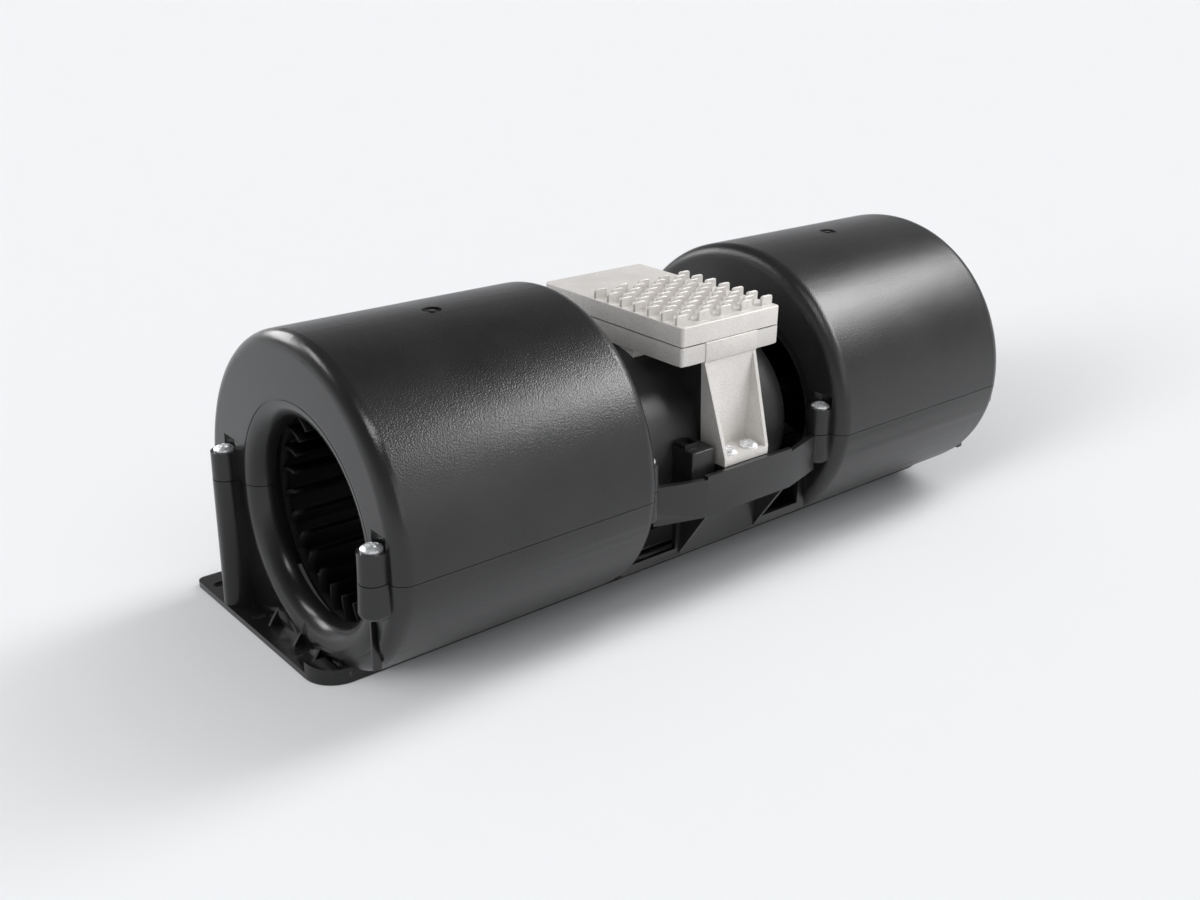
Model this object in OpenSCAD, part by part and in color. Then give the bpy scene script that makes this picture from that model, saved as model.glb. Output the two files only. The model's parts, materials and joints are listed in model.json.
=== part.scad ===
// Twin double-inlet centrifugal blower with a brushless motor between two scroll housings.
// X runs along the motor axis, -Y is the front with the cable side, Z is up, Z = 0 is the mounting face.

/* [Scroll housings] */
// motor axis height above the mounting face
axis_z = 65.8; // [65.4:0.2:67]
// outer radius of the front lower quarter of the scroll
scroll_r = 71; // [70.6:0.2:72]
// how much tighter the front lower quarter curls than that
low_drop = 5.6; // [5:0.2:6]
// growth of the scroll radius from one quarter to the next
scroll_step = 7.9; // [7.5:0.1:8.2]
// distance from the centre to the outer end face of a housing
end_x = 197; // [196.5:0.5:199]
// distance from the centre to the inner end face of a housing
inner_x = 61; // [60.5:0.5:62]
// wall thickness of the mouldings
shell_t = 2.5; // [2.2:0.1:2.8]
// round along both edges of a scroll
edge_r = 7; // [6.5:0.5:8]
// clear radius of an inlet
throat_r = 45.5; // [45:0.5:46]
// roll radius of the bellmouth round an inlet
roll_r = 9.3; // [9:0.1:9.6]
// height of the parting plane above the axis
part_dz = 1; // [0.6:0.2:1.6]
// open line between cover and base
part_gap = 0.3; // [0.2:0.1:0.5]
// how far the lower end walls stand back
end_recess = 1.5; // [1.2:0.1:2]

/* [Flange] */
// thickness of the flange
flange_t = 3; // [2.6:0.2:3.6]
// flange edge in front of the axis
flange_front = 25; // [24:0.5:26]
// flange edge behind the axis
flange_back = 99.5; // [98:0.5:104]
// how far the flange runs past the end face
flange_over = 9.8; // [9.6:0.1:11]
// half width of a mounting slot
slot_r = 2.4; // [2.2:0.1:2.6]
// straight length of a mounting slot
slot_len = 2.6; // [2:0.2:3]
// distance between mounting slots
slot_pitch = 40.5; // [40:0.5:41]

/* [Screw bosses] */
// radius of a cover screw boss
boss_r = 6.1; // [5.8:0.1:6.3]
// height of a boss above the parting plane
boss_h = 13.2; // [12:0.2:14]
// front bosses, distance in front of the axis
boss_front = 61.4; // [61:0.2:62]
// rear bosses, distance behind the axis
boss_rear = 66.9; // [66:0.3:68]

/* [Screws] */
// head radius of the pan head screws
head_r = 4.6; // [4.4:0.1:4.7]
// shank radius of the pan head screws
shank_r = 2.2; // [2:0.1:2.3]
// room round a screw shank in its hole
screw_gap = 0.1; // [0.08:0.01:0.15]

/* [Motor cradle] */
// front face of the leg platform in front of the axis
rail_y = 71.3; // [71:0.1:72]
// top of the leg platform above the mounting face
seat_z = 68.2; // [67.8:0.2:68.6]
// height of the rail and the platform front
rail_h = 20.6; // [19:0.2:21]
// half width of the leg platform
rail_x = 28.5; // [28:0.5:30]
// half distance of the two gussets
gusset_x = 26; // [24:0.5:27]

/* [Blower wheels] */
// outer radius of the blades
wheel_r = 52; // [50:0.5:53]
// inner radius of the blades
blade_in = 40; // [39:0.5:41]
// number of blades
blades = 26; // [22:1:28]
// thickness of a blade
blade_t = 1.6; // [1.4:0.1:1.8]
// radius of the blade curve as a share of the blade depth
blade_curve = 1.3; // [1.2:0.1:1.5]
// length of a wheel
wheel_w = 102.4; // [98:0.4:103]

/* [Shaft and bearings] */
// shaft radius
shaft_r = 4; // [4:0.1:4.3]
// running room between shaft and bearing bore
run_gap = 0.05; // [0.03:0.01:0.08]
// half length of the shaft
shaft_half = 146; // [144:1:150]
// outer radius of a ball bearing
bearing_r = 11; // [10.8:0.1:11.2]
// width of a ball bearing
bearing_w = 7; // [6:0.5:8]

/* [Motor] */
// outer radius of the motor cover
cover_r = 51; // [50.6:0.1:51]
// outer radius of the motor can
can_r = 48.5; // [48:0.1:48.6]
// left end of the motor cover, from the centre
motor_left = 58; // [57:0.5:59]
// right end of the motor can, from the centre
motor_right = 59; // [57:0.5:59.5]
// edge where the cover ends and the can shows, left of the centre
motor_step = 13; // [12:0.5:14]
// rotor radius
rotor_r = 21.5; // [20:0.5:21.5]

/* [Electronics box] */
// half width of the box along the axis
box_x = 32; // [31:0.5:33]
// front face of the box and of the front leg
box_front = 54; // [54:0.2:55]
// rear face of the box
box_back = 47; // [45:0.5:49]
// underside of the tray above the axis
tray_dz = 51.2; // [51.2:0.1:52]
// height of the tray
tray_h = 9; // [8.6:0.2:10]
// height of the lid without its fins
lid_h = 9.2; // [9:0.2:10]
// upright corner radius of the box
box_r = 5; // [4:0.5:6]
// half width of a leg at the box
leg_x = 17; // [16.5:0.5:18]
// half width of a leg at its foot
foot_x = 14.5; // [14:0.5:15]
// how far a foot stands out from its leg
foot_y = 14; // [13.5:0.5:14.5]

/* [Pin fins] */
// fins along the axis in a full row
fin_cols = 5; // [4:1:5]
// full rows of fins
fin_rows = 7; // [5:1:7]
// width of a fin
fin_w = 7; // [6:0.5:8]
// thickness of a fin
fin_t = 1.6; // [1.4:0.1:2]
// height of a fin
fin_h = 6.3; // [5:0.1:7]
// distance between full rows
fin_pitch = 9.5; // [8.5:0.1:9.5]

/* [Hidden] */
$fn = 96;
a2 = scroll_step / 2;
part_z = axis_z + part_dz;
low_z = part_z - part_gap / 2;
high_z = part_z + part_gap / 2;
back_y = a2 + scroll_r + 2 * scroll_step;
ring_r = throat_r + roll_r;
flange_x = end_x + flange_over;
base_end = end_x - end_recess;
base_inner = inner_x + end_recess;
low_r = scroll_r - low_drop;
low_y = low_r - scroll_r - a2;
lip_t = 1.5;
boss_x = end_x + 3;
boss_in_x = inner_x - 2;
head_z = part_z + boss_h;
bore_r = shank_r + screw_gap;
mid_x = (end_x + inner_x) / 2;
wheel_far = mid_x + wheel_w / 2;
wheel_near = mid_x - wheel_w / 2;
ring_wall = 1.4;
hub_r = 9;
press_gap = 0.02;
tray_z = axis_z + tray_dz;
seal_t = 0.5;
lid_z = tray_z + tray_h + seal_t;
lid_top = lid_z + lid_h;
slot_x = end_x + 2.4;
slot_y = 6.5;
rail_z = seat_z - rail_h;
wall_y = 52;
wall_z = axis_z + a2 - sqrt(low_r * low_r - (wall_y + low_y) * (wall_y + low_y));
foot_z = seat_z + 4;
plug_x = -31.5;
plug_w = 14.5;
plug_y = rail_y - 7.3;
plug_d = plug_y - 44;
leg_t = 2.4;
rear_y = 52;
leg_screw_x = 7;
leg_screw_y = 62.2;
seat_gap = 0.04;
can_in = can_r - 2.5;
stator_x0 = -6;
stator_x1 = 32;
teeth = 12;

// solids about the motor axis: local Z becomes +X
module on_axis(x = 0) translate([x, 0, axis_z]) rotate([0, 90, 0]) children();

module both_sides() {
    children();
    mirror([1, 0, 0]) children();
}

// the volute: three quarter turns of growing radius and a straight outlet
module edge_profile(r, w, f) {
    square([r - f, w]);
    translate([0, f]) square([r, w - 2 * f]);
    translate([r - f, f]) circle(f);
    translate([r - f, w - f]) circle(f);
}
module quarter(x, y, z, r, w, f, turn)
    translate([x, y, axis_z + z]) rotate([0, 90, 0]) rotate([0, 0, turn])
        rotate_extrude(angle = 90) edge_profile(r, w, f);
module scroll(x0, x1, inset, foot) {
    w = x1 - x0;
    f = edge_r - inset;
    r = scroll_r - inset;
    quarter(x0, low_y, a2, low_r - inset, w, f, 270);
    quarter(x0, a2, a2, r + scroll_step, w, f, 180);
    quarter(x0, a2, -a2, r + 2 * scroll_step, w, f, 90);
    translate([x0, low_y, axis_z - a2]) cube([w, a2 - low_y, scroll_step]);
    translate([x0, low_y, foot]) linear_extrude(axis_z - a2 - foot) {
        d = back_y - low_y - inset;
        square([w, d - f]);
        translate([f, 0]) square([w - 2 * f, d]);
        translate([f, d - f]) circle(f);
        translate([w - f, d - f]) circle(f);
    }
}
// bellmouth: face at local Z = 0, rolled inward, with a short lip
module bell_profile(outer_part) {
    intersection() {
        translate([ring_r, roll_r]) difference() {
            circle(roll_r);
            circle(roll_r - shell_t);
        }
        union() {
            translate([throat_r, 0]) square([roll_r, roll_r]);
            if (outer_part)
                translate([ring_r, 0]) square([roll_r + 1, end_recess + shell_t]);
        }
    }
    translate([throat_r, roll_r]) square([shell_t, lip_t]);
}
module bell(outer_part) rotate_extrude() bell_profile(outer_part);
module bells(outer_part) {
    on_axis(-end_x) bell(outer_part);
    translate([-inner_x, 0, axis_z]) mirror([1, 0, 0]) rotate([0, 90, 0]) bell(outer_part);
}
module below(z) translate([-260, -160, z - 400]) cube([520, 320, 400]);
module above(z) translate([-260, -160, z]) cube([520, 320, 400]);

// places of the four screw bosses of the left housing
boss_at = [[-boss_x, -boss_front, -1], [-boss_x, boss_rear, -1],
    [-boss_in_x, -boss_front, 1], [-boss_in_x, boss_rear, 1]];

// boss with a round front and flat sides back to the wall, wider at its foot, foot corner rounded by q
module boss_side(z0, z1, r0, r1, q) {
    polygon([[0, z0], [r0 - q, z0], [r0, z0 + q], [r1, z1], [0, z1]]);
    translate([r0 - q, z0 + q]) circle(q);
}
module boss(p, z0, z1, r0 = boss_r, r1 = boss_r, q = 0.5) translate([p[0], p[1], 0]) {
    rotate_extrude() boss_side(z0, z1, r0, r1, q);
    translate([p[2] > 0 ? -7 : 0, 0, 0]) rotate([90, 0, 90]) linear_extrude(7) {
        boss_side(z0, z1, r0, r1, q);
        mirror([1, 0]) boss_side(z0, z1, r0, r1, q);
    }
}
// core that carries a boss over the open parting line
module boss_core(p, z0, z1) translate([p[0], p[1], z0]) cylinder(r = boss_r - 0.6, h = z1 - z0);
module screw(head = head_r, shank = shank_r, len = 22, dome = 2.7) {
    rs = (head * head + (dome - 1) * (dome - 1)) / (2 * (dome - 1));
    difference() {
        rotate_extrude() intersection() {
            translate([0, dome - rs]) circle(rs);
            square([head, dome]);
        }
        for (a = [0, 90]) rotate([0, 0, a])
            translate([-head * 0.55, -head * 0.12, dome - 1.5]) cube([head * 1.1, head * 0.24, 3]);
    }
    translate([0, 0, -len]) cylinder(r = shank, h = len + 0.5);
}

module cover() {
    difference() {
        union() {
            difference() {
                intersection() {
                    scroll(-end_x, -inner_x, 0, 20);
                    above(high_z);
                }
                difference() {
                    scroll(-end_x + shell_t, -inner_x - shell_t, shell_t, 20);
                    for (p = boss_at) translate([p[0], p[1], 30])
                        cylinder(r = boss_r + 2, h = head_z + 8.5 - 30);
                    on_axis(-end_x) cylinder(r = throat_r, h = 1);
                }
                for (x = [-end_x - 1, -inner_x - shell_t - 1])
                    on_axis(x) cylinder(r = ring_r, h = shell_t + 2);
            }
            intersection() {
                bells(false);
                above(high_z);
            }
            for (p = boss_at) {
                boss(p, high_z, head_z, boss_r + 0.15, boss_r, 0.15);
                boss_core(p, part_z, high_z + 1);
            }
        }
        for (p = boss_at) translate([p[0], p[1], 0]) {
            translate([0, 0, part_z - 1]) cylinder(r = shank_r + 2 * screw_gap, h = boss_h + 2);
            translate([0, 0, head_z]) cylinder(r = boss_r, h = 6);
        }
        // fine step where the flat face meets the bellmouth
        for (x = [-end_x - 0.5, -inner_x - 0.3]) on_axis(x) difference() {
            cylinder(r = ring_r + 0.25, h = 0.8);
            translate([0, 0, -1]) cylinder(r = ring_r - 0.25, h = 3);
        }
        // moulding gate dimple with its nub
        translate([-mid_x, 1, axis_z + a2 + scroll_r + scroll_step - 0.9]) difference() {
            cylinder(r = 4.4, h = 5);
            translate([0, 0, -1]) cylinder(r = 1.5, h = 1.6);
        }
    }
}
module left_cover() color("#2b2b2c") cover();
module right_cover() color("#2b2b2c") mirror([1, 0, 0]) cover();

module flange_outline() {
    r = 15;
    difference() {
        translate([-flange_x, -flange_front]) square([2 * flange_x, flange_front + flange_back]);
        for (s = [-1, 1]) translate([s * (flange_x - r), -flange_front + r]) difference() {
            translate([s > 0 ? 0 : -r - 1, -r - 1]) square([r + 1, r + 1]);
            circle(r);
        }
        for (s = [-1, 1]) translate([s * (flange_x - 4), flange_back - 4]) difference() {
            translate([s > 0 ? 0 : -5, 0]) square([5, 5]);
            circle(4);
        }
    }
}
// one housing half of the base, left side
module base_scroll() {
    difference() {
        union() {
            intersection() {
                union() {
                    scroll(-base_end, -base_inner, 0, 0);
                    intersection() {
                        scroll(-end_x, -inner_x, 0, 0);
                        translate([-260, -160, -10]) cube([520, 160 - boss_front + 7, 200]);
                    }
                }
                below(low_z);
                above(0);
            }
            for (p = boss_at) {
                if (p[2] < 0 && p[1] > 0) boss(p, flange_t - 1, low_z, boss_r + 0.6, boss_r + 0.2);
                else boss(p, part_z - 15.8, low_z, boss_r + 0.6, boss_r + 0.2, 3);
                boss_core(p, low_z - 1, part_z);
            }
            // thin rib under the front boss
            translate([-end_x - 1.5, -boss_front + 6.5, wall_z + 2])
                cube([end_recess + 2.5, 1.2, part_z - 14 - wall_z]);
        }
        // inside of the scroll and the outlet
        difference() {
            scroll(-base_end + shell_t, -base_inner - shell_t, shell_t + 0, -5);
            for (p = boss_at) translate([p[0], p[1], 0]) cylinder(r = boss_r, h = 200);
        }
        translate([-base_end + shell_t, 5 - flange_front, -5])
            cube([base_end - base_inner - 2 * shell_t, 60, 20]);
        for (x = [-end_x - 1, -base_inner - shell_t - 1])
            on_axis(x) cylinder(r = ring_r, h = end_recess + shell_t + 2);
        // narrow slot between the rib and the rounded front edge
        translate([-end_x - 2, -boss_front + 3.9, wall_z + 3])
            cube([end_recess + 2.9, 2.6, part_z - 16.4 - wall_z]);
    }
    intersection() {
        bells(true);
        below(low_z);
    }
    // cut-off nose at the start of the scroll
    translate([-base_end + 1, 3.5 - flange_front, flange_t + 2.6]) rotate([0, 90, 0])
        cylinder(r = 3.4, h = base_end);
}
module end_details() {
    // thin gussets between the flange and the end wall
    for (y = [36, 12.8, -4.6]) translate([-base_end - 4.6, y + 0.8, flange_t - 0.01])
        rotate([90, 0, 0]) linear_extrude(1.6) polygon([[0, 0], [5.6, 0], [5.6, 8.2]]);
    // raised corner lip
    intersection() {
        translate([0, 0, 0.5]) linear_extrude(20) flange_outline();
        union() {
            translate([-base_end - 3.2, -10, 0.5]) rotate([90, 0, 0]) linear_extrude(16)
                polygon([[0, 0], [0, 6.4], [-2.2, 6.4], [-8.5, 2], [-8.5, 0]]);
            translate([-base_end - 3.4, -flange_front, 0.5]) cube([16, 2, 5]);
        }
    }
}
module cradle() {
    t = 2.4;
    // lower shell between the housings, same curve as the scroll
    intersection() {
        translate([-base_inner - 1, low_y, axis_z + a2]) rotate([0, 90, 0]) difference() {
            cylinder(r = low_r, h = 2 * base_inner + 2);
            translate([0, 0, -1]) cylinder(r = low_r - t, h = 2 * base_inner + 4);
        }
        translate([-100, -wall_y, 0]) cube([200, wall_y - flange_front + 8, axis_z]);
    }
    difference() {
        translate([-base_inner - 1, -wall_y, wall_z + 0.3])
            cube([2 * base_inner + 2, t, rail_z + t - wall_z - 0.3]);
        for (s = [-1, 1]) translate([s > 0 ? gusset_x + 3 : 3 - inner_x, -wall_y - 8, wall_z + 4])
            cube([inner_x - 6 - gusset_x, 20, rail_z - 6 - wall_z]);
    }
    for (s = [-1, 1]) translate([s * gusset_x - 1, 0, 0])
        rotate([90, 0, 90]) linear_extrude(2)
            polygon([[-rail_y + 1, rail_z + 0.5], [-wall_y + 1, rail_z + 0.5],
                [-wall_y + 1, wall_z + 0.8], [-wall_y, wall_z + 0.8]]);
    // platform floor, front and ends
    translate([-rail_x, -rail_y, rail_z]) cube([2 * rail_x, rail_y - wall_y + t, t]);
    translate([-rail_x, -rail_y, rail_z]) cube([2 * rail_x, t, rail_h]);
    // slanting rails to the inner bosses
    for (s = [0, 1]) mirror([s, 0, 0]) translate([0, 0, rail_z])
        linear_extrude(low_z - rail_z) polygon([[-rail_x, -rail_y], [-rail_x + 1, -rail_y + t],
            [-boss_in_x + 5, -boss_front + 0.6], [-boss_in_x + 4, -boss_front - 2.4]]);
    // seat under the front foot
    translate([-foot_x - 0.5, -rail_y + t + 1, rail_z]) cube([2 * foot_x + 1, rail_y - t - 54, rail_h]);
    // rear tower
    difference() {
        translate([-rail_x, rear_y + 1, 1]) cube([2 * rail_x, 18, seat_z - 1]);
        for (s = [0, 1]) mirror([s, 0, 0]) translate([foot_x + 2, rear_y + 1 + t, flange_t + 4])
            cube([rail_x - foot_x - 2 - t, 18 - 2 * t, 100]);
        translate([-foot_x - 0.5, rear_y + 1 + t, -1]) cube([2 * foot_x + 1, 18 - 2 * t, 46]);
    }
}
module base_housing() color("#262627") {
    difference() {
        union() {
            difference() {
                linear_extrude(flange_t) flange_outline();
                both_sides() translate([-base_end + shell_t, -20, -5])
                    cube([base_end - base_inner - 2 * shell_t, back_y - shell_t + 20, 20]); // outlet
            }
            both_sides() base_scroll();
            both_sides() end_details();
            cradle();
        }
        for (s = [-1, 1], i = [0:2])
            translate([s * slot_x, slot_y + i * slot_pitch, -1]) linear_extrude(20) {
                for (d = [-1, 1]) translate([d * slot_len / 2, 0]) circle(slot_r);
                square([slot_len, 2 * slot_r], center = true);
            }
        both_sides() for (p = boss_at) translate([p[0], p[1], part_z - 11]) cylinder(r = bore_r, h = 30);
        for (x = [-leg_screw_x, leg_screw_x], y = [-leg_screw_y, leg_screw_y])
            translate([x, y, seat_z - 13]) cylinder(r = bore_r, h = 30);
    }
}
module cover_screws() color("#c9cccf")
    both_sides() for (p = boss_at) translate([p[0], p[1], head_z]) screw(len = 22);

module blade_shape() {
    bend = blade_curve * (wheel_r - blade_in);
    difference() {
        intersection() {
            circle(wheel_r + 0.4);
            translate([blade_in, -bend]) circle(bend + blade_t / 2);
            translate([blade_in - 1, -bend * 0.8]) square([wheel_r, bend]);
        }
        translate([blade_in, -bend]) circle(bend - blade_t / 2);
        circle(blade_in);
    }
}
module wheel() on_axis(-wheel_far) {
    linear_extrude(wheel_w) for (i = [0:blades - 1])
        rotate([0, 0, i * 360 / blades + 3]) blade_shape();
    for (z = [-0.8, wheel_w - 3.2]) translate([0, 0, z]) difference() {
        cylinder(r = wheel_r + 1, h = 4);
        translate([0, 0, -1]) cylinder(r = wheel_r - 1, h = 6);
    }
}
// disc with hub and ribs, pressed between the inner blade edges of a wheel
module wheel_disc() on_axis(-mid_x) difference() {
    union() {
        translate([0, 0, -1.25]) cylinder(r = blade_in - press_gap, h = 2.5);
        translate([0, 0, -8]) cylinder(r = hub_r, h = 16);
        for (i = [0:5]) rotate([0, 0, i * 60]) translate([0, -1, -5])
            cube([blade_in - 14, 2, 5]);
    }
    translate([0, 0, -20]) cylinder(r = shaft_r + press_gap, h = 40);
}
module left_wheel() color("#1c1c1d") wheel();
module right_wheel() color("#1c1c1d") mirror([1, 0, 0]) wheel();
module left_wheel_disc() color("#1c1c1d") wheel_disc();
module right_wheel_disc() color("#1c1c1d") mirror([1, 0, 0]) wheel_disc();

module hub_clip() on_axis(-mid_x - 8.4 - 3) difference() {
    cylinder(r = shaft_r + 3, h = 3.4);
    translate([0, 0, -1]) cylinder(r = shaft_r + press_gap, h = 6);
    translate([0, -1, -1]) cube([12, 2, 6]);
}
module left_hub_clip() color("#8d9092") hub_clip();
module right_hub_clip() color("#8d9092") mirror([1, 0, 0]) hub_clip();

module shaft() color("#a9adb0") on_axis(-shaft_half) {
    cylinder(r = shaft_r, h = 2 * shaft_half);
}
module rotor_magnet() color("#4d4f52") on_axis(stator_x0 - 2) difference() {
    cylinder(r = rotor_r, h = stator_x1 - stator_x0 + 4);
    translate([0, 0, -1]) cylinder(r = shaft_r + press_gap, h = 80);
}
module bearing(x) on_axis(x) difference() {
    cylinder(r = bearing_r, h = bearing_w);
    translate([0, 0, -1]) cylinder(r = shaft_r + run_gap, h = bearing_w + 2);
    for (z = [-1, bearing_w - 0.6]) translate([0, 0, z]) difference() {
        cylinder(r = bearing_r - 2, h = 1.6);
        translate([0, 0, -1]) cylinder(r = shaft_r + 2, h = 4);
    }
}
module left_bearing() color("#b7babd") bearing(-motor_left + 4);
module right_bearing() color("#b7babd") bearing(motor_right - 4 - bearing_w);

module bowl_profile(r, len, f) {
    translate([0, f]) square([r, len - f]);
    square([r - f, len]);
    translate([r - f, f]) circle(f);
}
// round body with one rolled end at local Z = 0 and a bearing seat inside that end
module motor_body(r, t, len, f) rotate_extrude() difference() {
    union() {
        difference() {
            intersection() {
                bowl_profile(r, len, f);
                square([r + 1, len]);
            }
            translate([0, t]) bowl_profile(r - t, len, f - t);
        }
        square([bearing_r + 3, 4 + bearing_w]);
    }
    translate([0, -1]) square([shaft_r + 1.5, 40]);
    translate([0, 4]) square([bearing_r + seat_gap, 40]);
}
module motor_cover() color("#2f2f31") difference() {
    on_axis(-motor_left)
        motor_body(cover_r, cover_r - can_r - seat_gap, motor_left - motor_step, 16);
    for (y = [-14, 14]) translate([-24, y, axis_z + 30]) cylinder(r = 1.6, h = 40);
}
module motor_can() color("#3a3b3d") difference() {
    translate([motor_right, 0, axis_z]) mirror([1, 0, 0]) rotate([0, 90, 0])
        motor_body(can_r, 2.5, motor_right + motor_step + 5, 18);
    for (y = [-14, 14]) translate([22, y, axis_z + 30]) cylinder(r = 1.6, h = 40);
}
module stator_core() color("#74777a") on_axis(stator_x0) linear_extrude(stator_x1 - stator_x0) {
    difference() {
        circle(can_in - seat_gap);
        circle(can_in - 5);
    }
    for (i = [0:teeth - 1]) rotate([0, 0, i * 360 / teeth]) translate([rotor_r + 3, -2.4])
        square([can_in - 4 - rotor_r - 3, 4.8]);
    intersection() {
        difference() {
            circle(rotor_r + 4);
            circle(rotor_r + 0.5);
        }
        for (i = [0:teeth - 1]) rotate([0, 0, i * 360 / teeth]) translate([0, -4.8])
            square([60, 9.6]);
    }
}
module windings() color("#a8632f") on_axis(stator_x0 - 3) for (i = [0:teeth - 1])
    rotate([0, 0, i * 360 / teeth]) difference() {
        translate([rotor_r + 7, -4.6, 0]) cube([8.5, 9.2, stator_x1 - stator_x0 + 6]);
        translate([rotor_r, -2.5, 2.9]) cube([30, 5, stator_x1 - stator_x0 + 0.2]);
    }
module motor_screws() color("#b9bcbf") for (x = [-24, 22], y = [-14, 14])
    translate([x, y, tray_z + 2.2]) screw(head = 3, shank = 1.5, len = 8, dome = 2);

// box with rounded upright edges, and a rounded rim on top when rim > 0
module plate(x0, x1, y0, y1, r) {
    translate([x0 + r, y0]) square([x1 - x0 - 2 * r, y1 - y0]);
    translate([x0, y0 + r]) square([x1 - x0, y1 - y0 - 2 * r]);
    for (x = [x0 + r, x1 - r], y = [y0 + r, y1 - r]) translate([x, y]) circle(r);
}
module rim_box(x0, x1, y0, y1, r, h, rim) {
    linear_extrude(h - rim) plate(x0, x1, y0, y1, r);
    linear_extrude(h) plate(x0 + rim, x1 - rim, y0 + rim, y1 - rim, r - rim);
    for (p = [[x1 - r, y1 - r, 0], [x0 + r, y1 - r, 90], [x0 + r, y0 + r, 180], [x1 - r, y0 + r, 270]])
        translate([p[0], p[1], h - rim]) rotate([0, 0, p[2]]) rotate_extrude(angle = 90)
            translate([r - rim, 0]) circle(rim);
    for (y = [y0 + rim, y1 - rim]) translate([x0 + r, y, h - rim]) rotate([0, 90, 0])
        cylinder(r = rim, h = x1 - x0 - 2 * r);
    for (x = [x0 + rim, x1 - rim]) translate([x, y0 + r, h - rim]) rotate([-90, 0, 0])
        cylinder(r = rim, h = y1 - y0 - 2 * r);
}
lid_screw_at = [[-box_x + 6.2, -box_front + 6.2], [box_x - 6.2, -box_front + 6.2],
    [-box_x + 6.2, box_back - 6.2], [box_x - 6.2, box_back - 6.2]];

// one leg: flush plate, two ribs that widen to the foot, foot with two screw holes
module leg(yf, join) {
    top = tray_z + (join ? 0 : tray_h);
    difference() {
        union() {
            translate([0, yf + leg_t, 0]) rotate([90, 0, 0]) linear_extrude(leg_t) leg_face(0, top);
            intersection() {
                translate([0, yf + leg_t, 0]) rotate([90, 0, 0]) linear_extrude(leg_t + foot_y)
                    difference() {
                        leg_face(0, tray_z);
                        leg_face(2, tray_z + 1);
                    }
                translate([-40, 0, 0]) rotate([90, 0, 90]) linear_extrude(80)
                    polygon([[yf + 1, tray_z - 1], [yf, tray_z - 1], [yf - foot_y, foot_z],
                        [yf - foot_y, seat_z], [yf + 1, seat_z]]);
            }
            translate([-foot_x, yf - foot_y, seat_z]) cube([2 * foot_x, foot_y + leg_t, 4]);
        }
        for (x = [-leg_screw_x, leg_screw_x]) translate([x, -leg_screw_y, 0])
            cylinder(r = bore_r + 0.2, h = 100);
    }
}
module leg_face(d, top) polygon([[-leg_x + d, top], [leg_x - d, top], [leg_x - d, tray_z],
    [foot_x - d, seat_z], [-foot_x + d, seat_z], [-leg_x + d, tray_z]]);

module controller_housing() color("#cbc6bf") {
    difference() {
        union() {
            translate([0, 0, tray_z]) difference() {
                linear_extrude(tray_h) plate(-box_x, box_x, -box_front, box_back, box_r);
                translate([0, 0, 2.2]) linear_extrude(20)
                    plate(-box_x + 2.4, box_x - 2.4, -box_front + 2.4, box_back - 2.4, box_r - 2.4);
            }
            // screw posts, board posts and saddles on the motor
            for (p = lid_screw_at) translate([p[0], p[1], tray_z]) cylinder(r = 4.2, h = tray_h);
            for (x = [-20, 20], y = [-40, 33]) translate([x, y, tray_z + 1])
                cylinder(r = 2.6, h = 3.5);
            difference() {
                union() {
                    translate([-31, -20, tray_z - 5]) cube([15, 40, 6]);
                    translate([14, -20, tray_z - 7]) cube([15, 40, 8]);
                }
                on_axis(-60) cylinder(r = cover_r + 0.15, h = 60);
                on_axis(0) cylinder(r = can_r + 0.15, h = 60);
            }
            leg(-box_front, false);
            mirror([0, 1, 0]) leg(-rear_y - leg_t, true);
            translate([-leg_x, box_back - 4, tray_z]) cube([2 * leg_x, rear_y + leg_t - box_back + 4, 2.2]);
        }
        for (x = [-24, 22], y = [-14, 14]) translate([x, y, tray_z - 10]) cylinder(r = 1.7, h = 20);
        for (p = lid_screw_at) translate([p[0], p[1], tray_z - 1]) cylinder(r = 1.9, h = 30);
    }
}
module leg_screws() color("#c9cccf") for (x = [-leg_screw_x, leg_screw_x], y = [-leg_screw_y, leg_screw_y])
    translate([x, y, foot_z]) screw(len = 14);

module fin(x, y) translate([x, y - fin_t / 2, lid_top - 0.5]) {
    cube([fin_w, fin_t, fin_h - 0.7]);
    translate([1.2, 0, 0]) cube([fin_w - 2.4, fin_t, fin_h + 0.5]);
    for (dx = [1.2, fin_w - 1.2]) translate([dx, fin_t, fin_h - 0.7]) rotate([90, 0, 0])
        cylinder(r = 1.2, h = fin_t);
}
module heatsink_lid() color("#d0cbc4") {
    pitch_x = (2 * box_x - 1.4 - fin_w) / (fin_cols - 1);
    y0 = -box_front + 5;
    difference() {
        translate([0, 0, lid_z]) rim_box(-box_x, box_x, -box_front, box_back, box_r, lid_h, 2);
        translate([0, 0, lid_z - 1]) difference() {
            linear_extrude(lid_h - 1.6)
                plate(-box_x + 2.6, box_x - 2.6, -box_front + 2.6, box_back - 2.6, box_r - 2.6);
            for (p = lid_screw_at) translate([p[0], p[1], 0]) cylinder(r = 4, h = 20);
        }
        for (p = lid_screw_at) translate([p[0], p[1], lid_z - 1]) cylinder(r = 1.9, h = 6.6);
    }
    for (j = [0:fin_rows - 1], i = [0:fin_cols - 1])
        fin(-box_x + i * pitch_x, y0 + j * fin_pitch);
    for (j = [0:fin_rows - 2], i = [0:fin_cols - 2])
        fin(-box_x + (i + 0.5) * pitch_x, y0 + (j + 0.5) * fin_pitch);
}
module lid_seal() color("#3c3d3f") translate([0, 0, tray_z + tray_h]) linear_extrude(seal_t)
    difference() {
        plate(-box_x + 0.5, box_x - 0.5, -box_front + 0.5, box_back - 0.5, box_r - 0.5);
        plate(-box_x + 2, box_x - 2, -box_front + 2, box_back - 2, box_r - 2);
    }
module lid_screws() color("#b9bcbf") for (p = lid_screw_at) translate([p[0], p[1], tray_z])
    rotate([180, 0, 0]) screw(head = 3.2, shank = 1.8, len = tray_h + seal_t + 4.5, dome = 2);
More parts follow.
